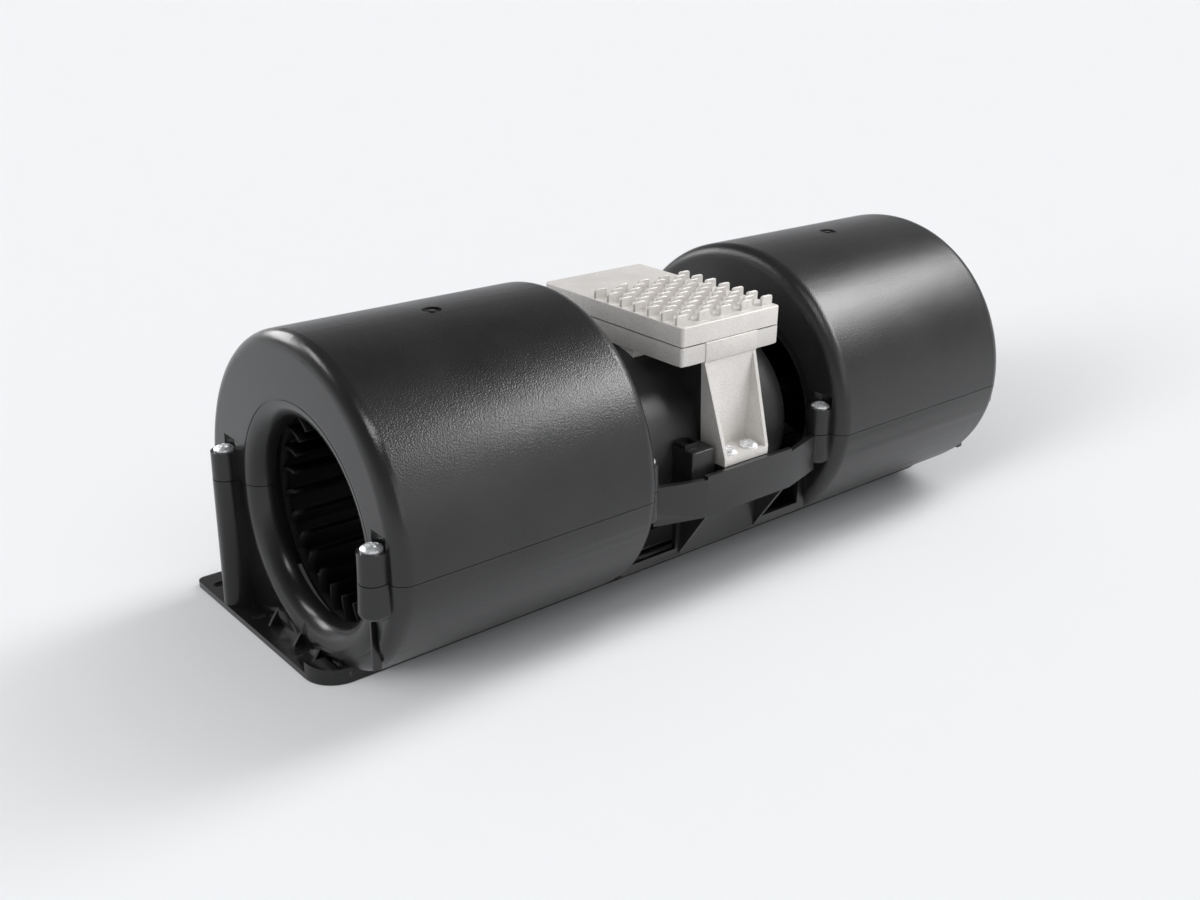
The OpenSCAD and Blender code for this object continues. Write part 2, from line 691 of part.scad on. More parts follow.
module controller_board() color("#2f5a3c") translate([0, 0, tray_z + 4.5]) difference() {
    translate([-box_x + 3.2, -box_front + 3.2, 0])
        cube([2 * box_x - 6.4, box_front + box_back - 6.4, 1.6]);
    for (p = lid_screw_at) translate([p[0], p[1], -1]) cylinder(r = 4.8, h = 4);
}
module board_parts() color("#2c2d33") translate([0, 0, tray_z + 6.1]) {
    for (y = [-26, -12, 2]) translate([12, y, 0]) cylinder(r = 4.5, h = 8);
    for (y = [-34, -22, -10, 2, 14, 26]) translate([-24, y - 4, 0]) cube([10, 8, 4.5]);
    translate([-8, -30, 0]) cube([12, 12, 1.6]);
    translate([4, 18, 0]) cube([16, 14, 7]);
}
module connector_block() color("#232324") difference() {
    union() {
        // body on the platform floor, with a rounded front top corner
        translate([plug_x, -plug_y, rail_z + 2.4]) cube([plug_w, plug_d, axis_z + 8 - rail_z - 2.4]);
        translate([plug_x, 3 - plug_y, axis_z + 7]) cube([plug_w, plug_d - 3, 4]);
        translate([plug_x, 3 - plug_y, axis_z + 8]) rotate([0, 90, 0]) cylinder(r = 3, h = plug_w);
        // two ribs that climb along the motor
        for (x = [plug_x + 0.8, plug_x + plug_w - 3.2]) translate([x, 0, 0])
            rotate([90, 0, 90]) linear_extrude(2.4) polygon([[-cover_r - 5.5, axis_z + 8],
                [-cover_r - 4.4, axis_z + 17], [-cover_r - 1, axis_z + 21.5],
                [-cover_r + 7, axis_z + 21.5], [-cover_r + 7, axis_z + 8]]);
    }
    on_axis(-80) cylinder(r = cover_r + 0.3, h = 100);
}

base_housing();
left_cover();
right_cover();
cover_screws();
left_wheel();
right_wheel();
left_wheel_disc();
right_wheel_disc();
left_hub_clip();
right_hub_clip();
shaft();
rotor_magnet();
left_bearing();
right_bearing();
motor_cover();
motor_can();
stator_core();
windings();
motor_screws();
controller_housing();
leg_screws();
heatsink_lid();
lid_seal();
lid_screws();
controller_board();
board_parts();
connector_block();
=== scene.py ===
# %% [markdown]
# # A twin blower, dressed for a studio picture
# The blower is already modelled as solids. This lesson loads those solids, gives every one of them a
# finish that is built from shader nodes, adds the small pieces that solids leave out, and sets up the
# lights and the camera. Lengths are in metres, X runs along the motor shaft, Z is up, and the blower
# stands on the plane Z = 0.

import json
import math

import bmesh
import bpy
from mathutils import Matrix, Vector


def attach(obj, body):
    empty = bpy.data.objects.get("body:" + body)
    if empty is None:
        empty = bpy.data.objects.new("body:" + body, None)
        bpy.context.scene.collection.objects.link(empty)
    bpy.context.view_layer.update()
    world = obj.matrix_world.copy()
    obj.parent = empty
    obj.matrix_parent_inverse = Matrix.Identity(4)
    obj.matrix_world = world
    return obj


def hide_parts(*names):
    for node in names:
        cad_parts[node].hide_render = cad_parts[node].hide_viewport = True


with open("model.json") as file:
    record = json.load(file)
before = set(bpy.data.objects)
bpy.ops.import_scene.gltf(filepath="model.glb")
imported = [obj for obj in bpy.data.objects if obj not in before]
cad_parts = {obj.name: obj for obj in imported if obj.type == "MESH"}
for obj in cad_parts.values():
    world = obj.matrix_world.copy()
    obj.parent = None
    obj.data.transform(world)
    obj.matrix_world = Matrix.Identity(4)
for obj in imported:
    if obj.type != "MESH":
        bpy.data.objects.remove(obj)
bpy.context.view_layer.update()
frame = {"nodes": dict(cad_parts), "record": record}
solids = frame["nodes"]
AXIS_Z = 0.0658  # height of the motor shaft

# %% [markdown]
# ## The camera
# A picture taken from the left front, a little above the blower. The camera sits about 0.7 m away and
# looks along a direction that is turned 40.5 degrees from the shaft's square view and 22.2 degrees
# down. A roll of one degree is the small tilt of a camera that is held by hand.

# %% Place the camera
CAMERA_PLACE = (-0.42388, -0.4574, 0.30535)
TURN, DOWN, ROLL = -40.48, 22.21, 1.02  # degrees

camera_data = bpy.data.cameras.new("camera")
camera_data.lens = 39.05
camera_data.sensor_width = 36.0
camera_data.clip_start = 0.02
camera_data.clip_end = 300.0
camera = bpy.data.objects.new("camera", camera_data)
bpy.context.scene.collection.objects.link(camera)
turn = Matrix.Rotation(math.radians(TURN), 4, "Z")
tilt = Matrix.Rotation(math.radians(90 - DOWN), 4, "X")
roll = Matrix.Rotation(math.radians(ROLL), 4, "Z")
camera.matrix_world = Matrix.Translation(CAMERA_PLACE) @ turn @ tilt @ roll
bpy.context.scene.camera = camera
print("camera at", tuple(round(v, 3) for v in camera.location), "lens", camera_data.lens)

# %% [markdown]
# ## The sky and the backdrop
# Black plastic shows little colour of its own: what the eye reads as its shape is the reflection of
# bright and dark things around it. So the sky that lights the blower is pale at the horizon and dim
# overhead, and the ramp between the two shades every rounded form. The camera itself sees a plain
# near-white backdrop in its place.

# %% A helper for colour ramps
BACKDROP = (0.913, 0.922, 0.939, 1)


def set_ramp(node, low, middle, high):
    """Give a Color Ramp three stops. Each stop is a position and a colour."""
    stops = node.color_ramp.elements
    for stop, (position, colour) in zip(stops, (low, high)):
        stop.position = position
        stop.color = colour
    added = stops.new(middle[0])
    added.color = middle[1]


# %% Make the sky
scene = bpy.context.scene
scene.view_settings.view_transform = "Standard"

world = bpy.data.worlds.new("studio")
scene.world = world
world.use_nodes = True
sky = world.node_tree
sky.nodes.clear()
sky_out = sky.nodes.new("ShaderNodeOutputWorld")
sky_place = sky.nodes.new("ShaderNodeTexCoord")
sky_split = sky.nodes.new("ShaderNodeSeparateXYZ")
sky_ramp = sky.nodes.new("ShaderNodeValToRGB")
sky_light = sky.nodes.new("ShaderNodeBackground")
set_ramp(
    sky_ramp,
    low=(0.0, (0.85, 0.86, 0.88, 1)),
    middle=(0.22, (0.42, 0.425, 0.432, 1)),
    high=(0.75, (0.09, 0.09, 0.092, 1)),
)
sky.links.new(sky_place.outputs["Generated"], sky_split.inputs[0])
sky.links.new(sky_split.outputs["Z"], sky_ramp.inputs[0])
sky.links.new(sky_ramp.outputs["Color"], sky_light.inputs["Color"])

# what the camera sees in place of the sky
sky_white = sky.nodes.new("ShaderNodeBackground")
sky_white.inputs["Color"].default_value = BACKDROP
sky_rays = sky.nodes.new("ShaderNodeLightPath")
sky_mix = sky.nodes.new("ShaderNodeMixShader")
sky.links.new(sky_rays.outputs["Is Camera Ray"], sky_mix.inputs["Fac"])
sky.links.new(sky_light.outputs[0], sky_mix.inputs[1])
sky.links.new(sky_white.outputs[0], sky_mix.inputs[2])
sky.links.new(sky_mix.outputs[0], sky_out.inputs[0])
print("sky stops:", [round(stop.position, 2) for stop in sky_ramp.color_ramp.elements])

# %% [markdown]
# ## Softboxes
# A softbox is a rectangle that glows, and each one shows in the plastic as a soft streak. A long one on
# the right lays a broad band of light along the front shoulder of both housings, and a wide one in
# front lights what faces the camera. Two behind the left end draw the bright line on its rounded edge,
# and a small one high in front draws the thin line on every rim.

# %% Hang the softboxes


def softbox(name, place, aim, width, height, power):
    lamp = bpy.data.lights.new(name, "AREA")
    lamp.shape = "RECTANGLE"
    lamp.size, lamp.size_y = width, height
    lamp.energy = power
    holder = bpy.data.objects.new(name, lamp)
    scene.collection.objects.link(holder)
    holder.location = place
    holder.rotation_euler = (Vector(aim) - Vector(place)).to_track_quat("-Z", "Y").to_euler()
    return holder


LEFT_END = (-0.19, 0, 0.13)  # the rounded edge of the left housing
softboxes = [
    softbox("side_softbox", (0.66, -0.40, 0.72), (0.0, -0.05, 0.1), 0.68, 0.18, 8.4),
    softbox("front_softbox", (0.25, -1.25, 0.55), (0.0, 0, 0.06), 0.9, 0.6, 2.35),
    softbox("back_softbox", (-0.36, 0.95, 0.52), LEFT_END, 0.6, 0.34, 4.2),
    softbox("end_softbox", (-0.62, 0.6, 0.86), LEFT_END, 0.42, 0.2, 2.0),
    softbox("rim_softbox", (-0.28, -0.5, 0.98), (-0.15, -0.03, 0.1), 0.46, 0.17, 2.4),
]
print("softboxes:", [holder.name for holder in softboxes])

# %% [markdown]
# ## Suns
# A soft sun from above lifts the aluminium box. The floor has lamps of its own: a fan of suns whose
# beams all lie close to the plane of the motor shaft, which gives a shadow that is long beside the
# blower and short in front, and one broad beam from the front that lights the floor before the blower.

# %% Set the suns


def soft_sun(name, direction, energy, angle):
    data = bpy.data.lights.new(name, "SUN")
    data.energy = energy
    data.angle = math.radians(angle)
    holder = bpy.data.objects.new(name, data)
    scene.collection.objects.link(holder)
    holder.rotation_euler = Vector(direction).to_track_quat("-Z", "Y").to_euler()
    holder.visible_glossy = False
    return holder


top_sun = soft_sun("top_sun", (-0.3, -0.2, -1.0), 0.95, 60)

# how far each beam of the fan leans along the shaft, in degrees, and its share of the fan's light
FAN_BEAMS = (
    (-57, 0.12), (-47, 0.15), (-36, 0.14), (-22, 0.10), (-8, 0.02), (8, 0.02),
    (22, 0.03), (35, 0.06), (47, 0.085), (58, 0.095), (67, 0.12), (73, 0.12),
)
FAN_LIGHT, FAN_ANGLE = 2.58, 22
TO_THE_BACK_RIGHT, TO_THE_BACK_LEFT = 0.25, 0.1  # how far the beams also run to the back

floor_suns = []
for i, (degrees, share) in enumerate(FAN_BEAMS):
    lean = math.tan(math.radians(degrees))
    beam = Vector((lean, TO_THE_BACK_RIGHT if lean > 0 else TO_THE_BACK_LEFT, -1.0))
    # a slanting beam spreads over more floor, so it gets more energy
    floor_suns.append(soft_sun(f"fan_{i}", beam, FAN_LIGHT * share * beam.length, FAN_ANGLE))
floor_suns.append(soft_sun("front_beam", (0.0, 1.1, -1.0), 0.4, 40))
print("suns:", [holder.name for holder in [top_sun, *floor_suns]])

# %% [markdown]
# ## The floor
# The floor is matt white paper. Where the camera or a shiny surface looks at it, a tenth of it glows by
# itself, and Ambient Occlusion darkens that glow close to the blower as a painted contact shadow. This
# makes the line where the flange meets the floor a little darker.

# %% Lay the floor
FLOOR_SIZE, FLOOR_DROP = 60, 0.0003  # the floor lies a hair below the blower

floor_mesh = bpy.data.meshes.new("floor")
floor_shape = bmesh.new()
bmesh.ops.create_grid(floor_shape, x_segments=1, y_segments=1, size=FLOOR_SIZE)
bmesh.ops.translate(floor_shape, verts=floor_shape.verts, vec=(0, 0, -FLOOR_DROP))
floor_shape.to_mesh(floor_mesh)
floor_shape.free()
floor = bpy.data.objects.new("floor", floor_mesh)
scene.collection.objects.link(floor)
print("floor", floor.dimensions[:2])

# %% Paper for the floor
# how much of the floor glows, and how far the painted contact shadow in that glow reaches
GLOW_SHARE, PAINTED_SHADOW_REACH = 0.1, 0.10

floor_mat = bpy.data.materials.new("white_floor")
floor_mat.use_nodes = True
tree = floor_mat.node_tree
tree.nodes.clear()
out = tree.nodes.new("ShaderNodeOutputMaterial")
paper = tree.nodes.new("ShaderNodeBsdfDiffuse")
paper.inputs["Color"].default_value = (0.792, 0.8, 0.815, 1)
glow = tree.nodes.new("ShaderNodeEmission")
# painted contact shadow: Ambient Occlusion darkens the floor's glow close to the blower
painted_shadow_occlusion = tree.nodes.new("ShaderNodeAmbientOcclusion")
painted_shadow_occlusion.samples = 8
painted_shadow_occlusion.inputs["Distance"].default_value = PAINTED_SHADOW_REACH
shade = tree.nodes.new("ShaderNodeValToRGB")
set_ramp(
    shade,
    low=(0.06, (0.0, 0.0, 0.0, 1)),
    middle=(0.36, (0.62, 0.622, 0.63, 1)),
    high=(1.0, BACKDROP),
)
tree.links.new(painted_shadow_occlusion.outputs["AO"], shade.inputs["Fac"])
tree.links.new(shade.outputs["Color"], glow.inputs["Color"])

# one where a camera ray, a glossy ray or a transmission ray lands, and zero elsewhere
rays = tree.nodes.new("ShaderNodeLightPath")
looked_at = rays.outputs["Is Camera Ray"]
for kind in ("Is Glossy Ray", "Is Transmission Ray"):
    either = tree.nodes.new("ShaderNodeMath")
    either.operation = "MAXIMUM"
    tree.links.new(looked_at, either.inputs[0])
    tree.links.new(rays.outputs[kind], either.inputs[1])
    looked_at = either.outputs[0]

glow_share = tree.nodes.new("ShaderNodeMath")
glow_share.operation = "MULTIPLY"
glow_share.inputs[1].default_value = GLOW_SHARE
blend = tree.nodes.new("ShaderNodeMixShader")
tree.links.new(looked_at, glow_share.inputs[0])
tree.links.new(glow_share.outputs[0], blend.inputs["Fac"])
tree.links.new(paper.outputs[0], blend.inputs[1])
tree.links.new(glow.outputs[0], blend.inputs[2])
tree.links.new(blend.outputs[0], out.inputs["Surface"])
floor_mesh.materials.append(floor_mat)
print("floor finish:", len(tree.nodes), "nodes")

# %% [markdown]
# ## Which lamp lights what
# Light linking lets a lamp reach only some objects. The softboxes and the top sun skip the floor, and
# the other suns light nothing but the floor. That way the highlights on the blower and the shadow under
# it are set apart from each other.

# %% Link the lamps
off_floor = bpy.data.collections.new("lamps_that_skip_the_floor")
off_floor.objects.link(floor)
off_floor.collection_objects[0].light_linking.link_state = "EXCLUDE"
for holder in (*softboxes, top_sun):
    holder.light_linking.receiver_collection = off_floor
on_floor = bpy.data.collections.new("lamps_for_the_floor")
on_floor.objects.link(floor)
for holder in floor_suns:
    holder.light_linking.receiver_collection = on_floor
print("lamps that skip the floor:", len(softboxes) + 1, "lamps for the floor:", len(floor_suns))

# %% [markdown]
# ## Soft edges
# Solids have knife-sharp edges, and no moulded or cast part does: the tool leaves a small round on
# every edge, and that round catches a thin line of light. So the parts whose edges show get a copy
# that is merged, freed of needless flat triangles and finished with a narrow Bevel. The copy then
# stands for the solid.

# %% A helper that rounds the edges of a solid
MERGE, SLIVER = 2e-6, 1e-6
FLAT, SHARP = math.radians(0.6), math.radians(38)  # flatter edges dissolve, sharper ones get a round

shown = dict(solids)  # what is seen of the blower: the solids, and later the pieces as well
bodies = frame["record"]["behaviour"]["bodies"]
body_of = {node: body for body, nodes in bodies.items() for node in nodes}


def soften(node, width, segments):
    """Let a copy with rounded edges stand for a solid."""
    shape = bmesh.new()
    shape.from_mesh(solids[node].data)
    bmesh.ops.remove_doubles(shape, verts=shape.verts, dist=MERGE)
    bmesh.ops.dissolve_degenerate(shape, edges=shape.edges, dist=SLIVER)
    bmesh.ops.dissolve_limit(
        shape, angle_limit=FLAT, verts=shape.verts, edges=shape.edges, use_dissolve_boundaries=False
    )
    mesh = bpy.data.meshes.new(node + "_soft")
    shape.to_mesh(mesh)
    shape.free()
    mesh.shade_smooth()
    mesh.set_sharp_from_angle(angle=SHARP)
    piece = bpy.data.objects.new(node + "_soft", mesh)
    scene.collection.objects.link(piece)
    edge = piece.modifiers.new("soft_edges", "BEVEL")
    edge.width = width
    edge.segments = segments
    edge.limit_method = "ANGLE"
    edge.angle_limit = SHARP
    edge.use_clamp_overlap = True
    edge.harden_normals = True
    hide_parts(node)
    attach(piece, body_of[node])
    shown[node] = piece
    print(node, "faces", len(mesh.polygons), f"edge round {width * 1000:.2f} mm")


# %% Round the edges that show
soften("controller_housing", 0.0004, 3)
soften("base_housing", 0.0003, 2)
soften("cover_screws", 0.00018, 2)
soften("leg_screws", 0.00018, 2)

# %% [markdown]
# ## Helpers for new pieces
# Most of the new pieces are made from blocks. A block is a cube that is scaled and moved between two
# corners, its edges are picked by their direction or their height and rounded with a bevel, and a
# hollow is a face that is pushed in.

# %% Blocks, edges and hollows


def block(shape, low, high):
    """Add a box between two corners to a bmesh, and give back its vertices."""
    made = bmesh.ops.create_cube(shape, size=1.0)["verts"]
    middle = [(a + b) / 2 for a, b in zip(low, high)]
    bmesh.ops.scale(shape, verts=made, vec=[b - a for a, b in zip(low, high)])
    bmesh.ops.translate(shape, verts=made, vec=middle)
    return made


def edges_along(axis, verts):
    """The edges at these vertices that run along one axis."""
    found = dict.fromkeys(edge for vert in verts for edge in vert.link_edges)

    def runs_along(edge):
        step = edge.verts[1].co - edge.verts[0].co
        return abs(step[axis]) > 0.99 * step.length

    return [edge for edge in found if runs_along(edge)]


def edges_at(shape, height):
    return [edge for edge in shape.edges if all(abs(vert.co.z - height) < 1e-6 for vert in edge.verts)]


def round_edges(shape, edges, radius, steps):
    bmesh.ops.bevel(
        shape, geom=edges, offset=radius, offset_type="OFFSET", segments=steps, profile=0.5,
        affect="EDGES", material=-1, clamp_overlap=True,
    )


def push(shape, faces, rise):
    """Move faces up or down, with walls that follow them."""
    pushed = bmesh.ops.extrude_face_region(shape, geom=faces)
    bmesh.ops.delete(shape, geom=faces, context="FACES")
    corners = [part for part in pushed["geom"] if isinstance(part, bmesh.types.BMVert)]
    bmesh.ops.translate(shape, verts=corners, vec=(0, 0, rise))


# %% Join shapes and make pieces of them
CREASE = math.radians(35)  # edges that are sharper than this stay sharp in the shading


def add_to(shape, extra):
    """Put everything of the bmesh `extra` into `shape`."""
    carrier = bpy.data.meshes.new("carrier")
    extra.to_mesh(carrier)
    extra.free()
    shape.from_mesh(carrier)
    bpy.data.meshes.remove(carrier)


def as_piece(shape, name, body="housing", stands_for=None):
    """Turn a bmesh into a piece of the blower."""
    mesh = bpy.data.meshes.new(name)
    bmesh.ops.recalc_face_normals(shape, faces=shape.faces)
    shape.to_mesh(mesh)
    shape.free()
    mesh.shade_smooth()
    mesh.set_sharp_from_angle(angle=CREASE)
    piece = bpy.data.objects.new(name, mesh)
    scene.collection.objects.link(piece)
    if stands_for:
        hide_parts(stands_for)
    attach(piece, body)
    shown[name] = piece
    print(name, "faces", len(mesh.polygons))


# %% [markdown]
# ## The heatsink lid
# The real lid is a flat casting with nearly sharp upright corners and staggered rows of small plate
# fins, each with two rounded top corners. A block that is bevelled twice makes the slab: first the
# four upright edges, then the rim of the top. The hollow under it is one inset that is pushed up. A fin
# is a small block with its two top corners bevelled, and the rows are placed in a loop.

# %% The slab of the lid
BOX_LEFT, BOX_RIGHT = -0.032, 0.032
BOX_FRONT, BOX_BACK = -0.054, 0.047
LID_LOW, LID_TOP = 0.1265, 0.1357
BOX_CORNER, LID_RIM = 0.0019, 0.0006
LID_WALL, LID_HOLLOW = 0.0022, 0.0068

lid = bmesh.new()
slab = block(lid, (BOX_LEFT, BOX_FRONT, LID_LOW), (BOX_RIGHT, BOX_BACK, LID_TOP))
round_edges(lid, edges_along(2, slab), BOX_CORNER, 4)
round_edges(lid, edges_at(lid, LID_TOP), LID_RIM, 3)
underside = [face for face in lid.faces if face.normal.z < -0.9]
bmesh.ops.inset_region(lid, faces=underside, thickness=LID_WALL)
underside = [face for face in lid.faces if face.normal.z < -0.9 and face.calc_area() > 0.001]
push(lid, underside, LID_HOLLOW)
print("slab faces", len(lid.faces))

# %% The fins of the lid
FIN_HIGH, FIN_WIDE, FIN_THICK = 0.0045, 0.007, 0.0015
FIN_CORNER, FIN_EDGE, FIN_ROOT = 0.0012, 0.0002, 0.0003
STEP_X, STEP_Y = 0.0139, 0.0095
FIRST_X, FIRST_Y = 0.0003, -0.049


def fin(x, y):
    """One fin, which starts at x and has its middle at y."""
    blade = bmesh.new()
    low = (x, y - FIN_THICK / 2, LID_TOP - FIN_ROOT)
    high = (x + FIN_WIDE, y + FIN_THICK / 2, LID_TOP + FIN_HIGH)
    made = block(blade, low, high)
    top_corners = [edge for edge in edges_along(1, made) if edge.verts[0].co.z > LID_TOP]
    round_edges(blade, top_corners, FIN_CORNER, 3)
    square_edges = [edge for edge in blade.edges if edge.calc_face_angle(0) > 1.2]
    round_edges(blade, square_edges, FIN_EDGE, 1)
    add_to(lid, blade)


for row in range(7):
    for column in range(5):
        fin(BOX_LEFT + FIRST_X + column * STEP_X, FIRST_Y + row * STEP_Y)
for row in range(6):
    for column in range(4):
        fin(BOX_LEFT + (column + 0.5) * STEP_X, FIRST_Y + (row + 0.5) * STEP_Y)
as_piece(lid, "heatsink_lid_cast", stands_for="heatsink_lid")

# %% [markdown]
# ## The wall of the tray
# The tray under the lid has the same sharp upright corners. A block without top and bottom is bevelled
# at its corners and given a wall thickness, and it is slipped over the tray like a sleeve. A low pad on
# its front carries the leg's plate up to the seam, as on the casting.

# %% The sleeve of the tray
PROUD = 0.00006  # how far the sleeve stands out from the tray
TRAY_LOW, TRAY_TOP = 0.11695, 0.126
TRAY_RIM, SLEEVE_WALL = 0.0005, 0.0018

sleeve = bmesh.new()
sleeve_low = (BOX_LEFT - PROUD, BOX_FRONT - PROUD, TRAY_LOW)
sleeve_high = (BOX_RIGHT + PROUD, BOX_BACK + PROUD, TRAY_TOP)
made = block(sleeve, sleeve_low, sleeve_high)
round_edges(sleeve, edges_along(2, made), BOX_CORNER, 4)
round_edges(sleeve, edges_at(sleeve, TRAY_LOW), TRAY_RIM, 2)
inside = [face for face in sleeve.faces if abs(face.normal.z) > 0.9]
bmesh.ops.inset_region(sleeve, faces=inside, thickness=SLEEVE_WALL)
level = [face for face in sleeve.faces if abs(face.normal.z) > 0.99]
caps = sorted(level, key=lambda face: -face.calc_area())[:2]
loops = [edge for face in caps for edge in face.edges]
bmesh.ops.delete(sleeve, geom=caps, context="FACES_ONLY")
bmesh.ops.bridge_loops(sleeve, edges=loops)
print("sleeve faces", len(sleeve.faces))

# %% The pad above the leg
PAD_LOW, PAD_HIGH = (-0.017, BOX_FRONT - 0.00055, 0.1168), (0.017, BOX_FRONT + 0.001, 0.1262)
PAD_EDGE = 0.0003

pad = bmesh.new()
block(pad, PAD_LOW, PAD_HIGH)
outer = [edge for edge in pad.edges if all(vert.co.y < BOX_FRONT for vert in edge.verts)]
round_edges(pad, outer, PAD_EDGE, 2)
add_to(sleeve, pad)
as_piece(sleeve, "tray_wall")

# %% [markdown]
# ## The connector
# The cable connector is a plain block that stands in front of the motor with its back against the
# cover. On its flat top sits a low lug with a slot, where the latch of the plug goes in. The slot is
# made as the lid's hollow is: an inset of the top face, pushed down.

# %% The connector block
PLUG_LOW, PLUG_HIGH, PLUG_EDGE = (-0.032, -0.0642, 0.0502), (-0.0172, -0.0502, 0.078), 0.0007
LUG_LOW, LUG_HIGH, LUG_EDGE = (-0.0312, -0.0585, 0.0778), (-0.0222, -0.0505, 0.0802), 0.0006
LUG_WALL, SLOT_DEEP = 0.0013, 0.0045


def lug_tops():
    """The level faces at the top of the lug."""
    up = [face for face in plug.faces if face.normal.z > 0.99]
    return [face for face in up if abs(face.calc_center_median().z - LUG_HIGH[2]) < 1e-5]


plug = bmesh.new()
block(plug, PLUG_LOW, PLUG_HIGH)
at_front = [edge for edge in plug.edges if any(vert.co.y < -0.06 for vert in edge.verts)]
round_edges(plug, at_front, PLUG_EDGE, 3)
lug = block(plug, LUG_LOW, LUG_HIGH)
round_edges(plug, edges_along(1, lug) + edges_along(2, lug), LUG_EDGE, 2)
bmesh.ops.inset_region(plug, faces=lug_tops(), thickness=LUG_WALL)
slot_face = max(lug_tops(), key=lambda face: face.calc_area())
push(plug, [slot_face], -SLOT_DEEP)
as_piece(plug, "connector_shell", stands_for="connector_block")

# %% [markdown]
# ## Corner walls of the flange
# At both front corners the flange carries a low curved wall that follows its rounded corner. It is
# highest at the end and falls towards the front. A small section is spun round the corner's centre, and
# then the top is tilted by moving each vertex down by its way round the corner. The pocket inside the
# wall has a raised floor: a disc that is cut down to the part near the end. Both are made at the left
# corner and mirrored to the right one.

# %% The curved wall
FLANGE_END, FLANGE_FRONT = 0.20675, -0.02495
WALL_RADIUS, WALL_THICK = 0.015, 0.0016
WALL_LOW, WALL_HIGH, WALL_FALL = 0.0024, 0.0084, 0.0010
centre = Vector((-FLANGE_END + WALL_RADIUS, FLANGE_FRONT + WALL_RADIUS, 0))

walls = bmesh.new()
section = [
    walls.verts.new((centre.x - radius, centre.y, z))
    for radius, z in (
        (WALL_RADIUS, WALL_LOW), (WALL_RADIUS, WALL_HIGH),
        (WALL_RADIUS - WALL_THICK, WALL_HIGH), (WALL_RADIUS - WALL_THICK, WALL_LOW),
    )
]
start = walls.faces.new(section)
bmesh.ops.spin(
    walls, geom=[start, *start.edges, *start.verts], cent=centre, axis=(0, 0, 1),
    angle=math.radians(90), steps=12, use_merge=False, use_duplicate=False,
)
for vert in walls.verts:
    if vert.co.z > (WALL_LOW + WALL_HIGH) / 2:
        way = math.atan2(-(vert.co.y - centre.y), -(vert.co.x - centre.x)) / math.radians(90)
        vert.co.z -= WALL_FALL * min(1.0, max(0.0, way) * 2.0)
print("curved wall faces", len(walls.faces))

# %% The raised floor of the pocket, and both corners
POCKET_DEEP, POCKET_MIDDLE, POCKET_EDGE = 0.0046, 0.0048, 0.0053

pocket = bmesh.new()
bmesh.ops.create_cone(
    pocket, cap_ends=True, segments=64, depth=POCKET_DEEP,
    radius1=WALL_RADIUS - WALL_THICK / 2, radius2=WALL_RADIUS - WALL_THICK / 2,
    matrix=Matrix.Translation((centre.x, centre.y, POCKET_MIDDLE)),
)
for place, away in (((centre.x - POCKET_EDGE, 0, 0), (1, 0, 0)), ((0, centre.y, 0), (0, 1, 0))):
    everything = pocket.verts[:] + pocket.edges[:] + pocket.faces[:]
    cut = bmesh.ops.bisect_plane(
        pocket, geom=everything, plane_co=place, plane_no=away, clear_outer=True
    )
    rim = [part for part in cut["geom_cut"] if isinstance(part, bmesh.types.BMEdge)]
    bmesh.ops.holes_fill(pocket, edges=rim)
add_to(walls, pocket)
everything = walls.verts[:] + walls.edges[:] + walls.faces[:]
bmesh.ops.mirror(walls, geom=everything, axis="X", merge_dist=-1)
as_piece(walls, "flange_corner_walls")

# %% [markdown]
# ## Finishes
# Every finish starts the same way: a Principled shader, and the point on the part in metres. Patterns
# that read this point stay fixed to the part and keep their real size. The small helper below holds
# the node tree and the calls that come back in every finish.

# %% A helper for finishes
NOISE_RANGE = (0.3, 0.7)  # a noise texture seldom leaves this range


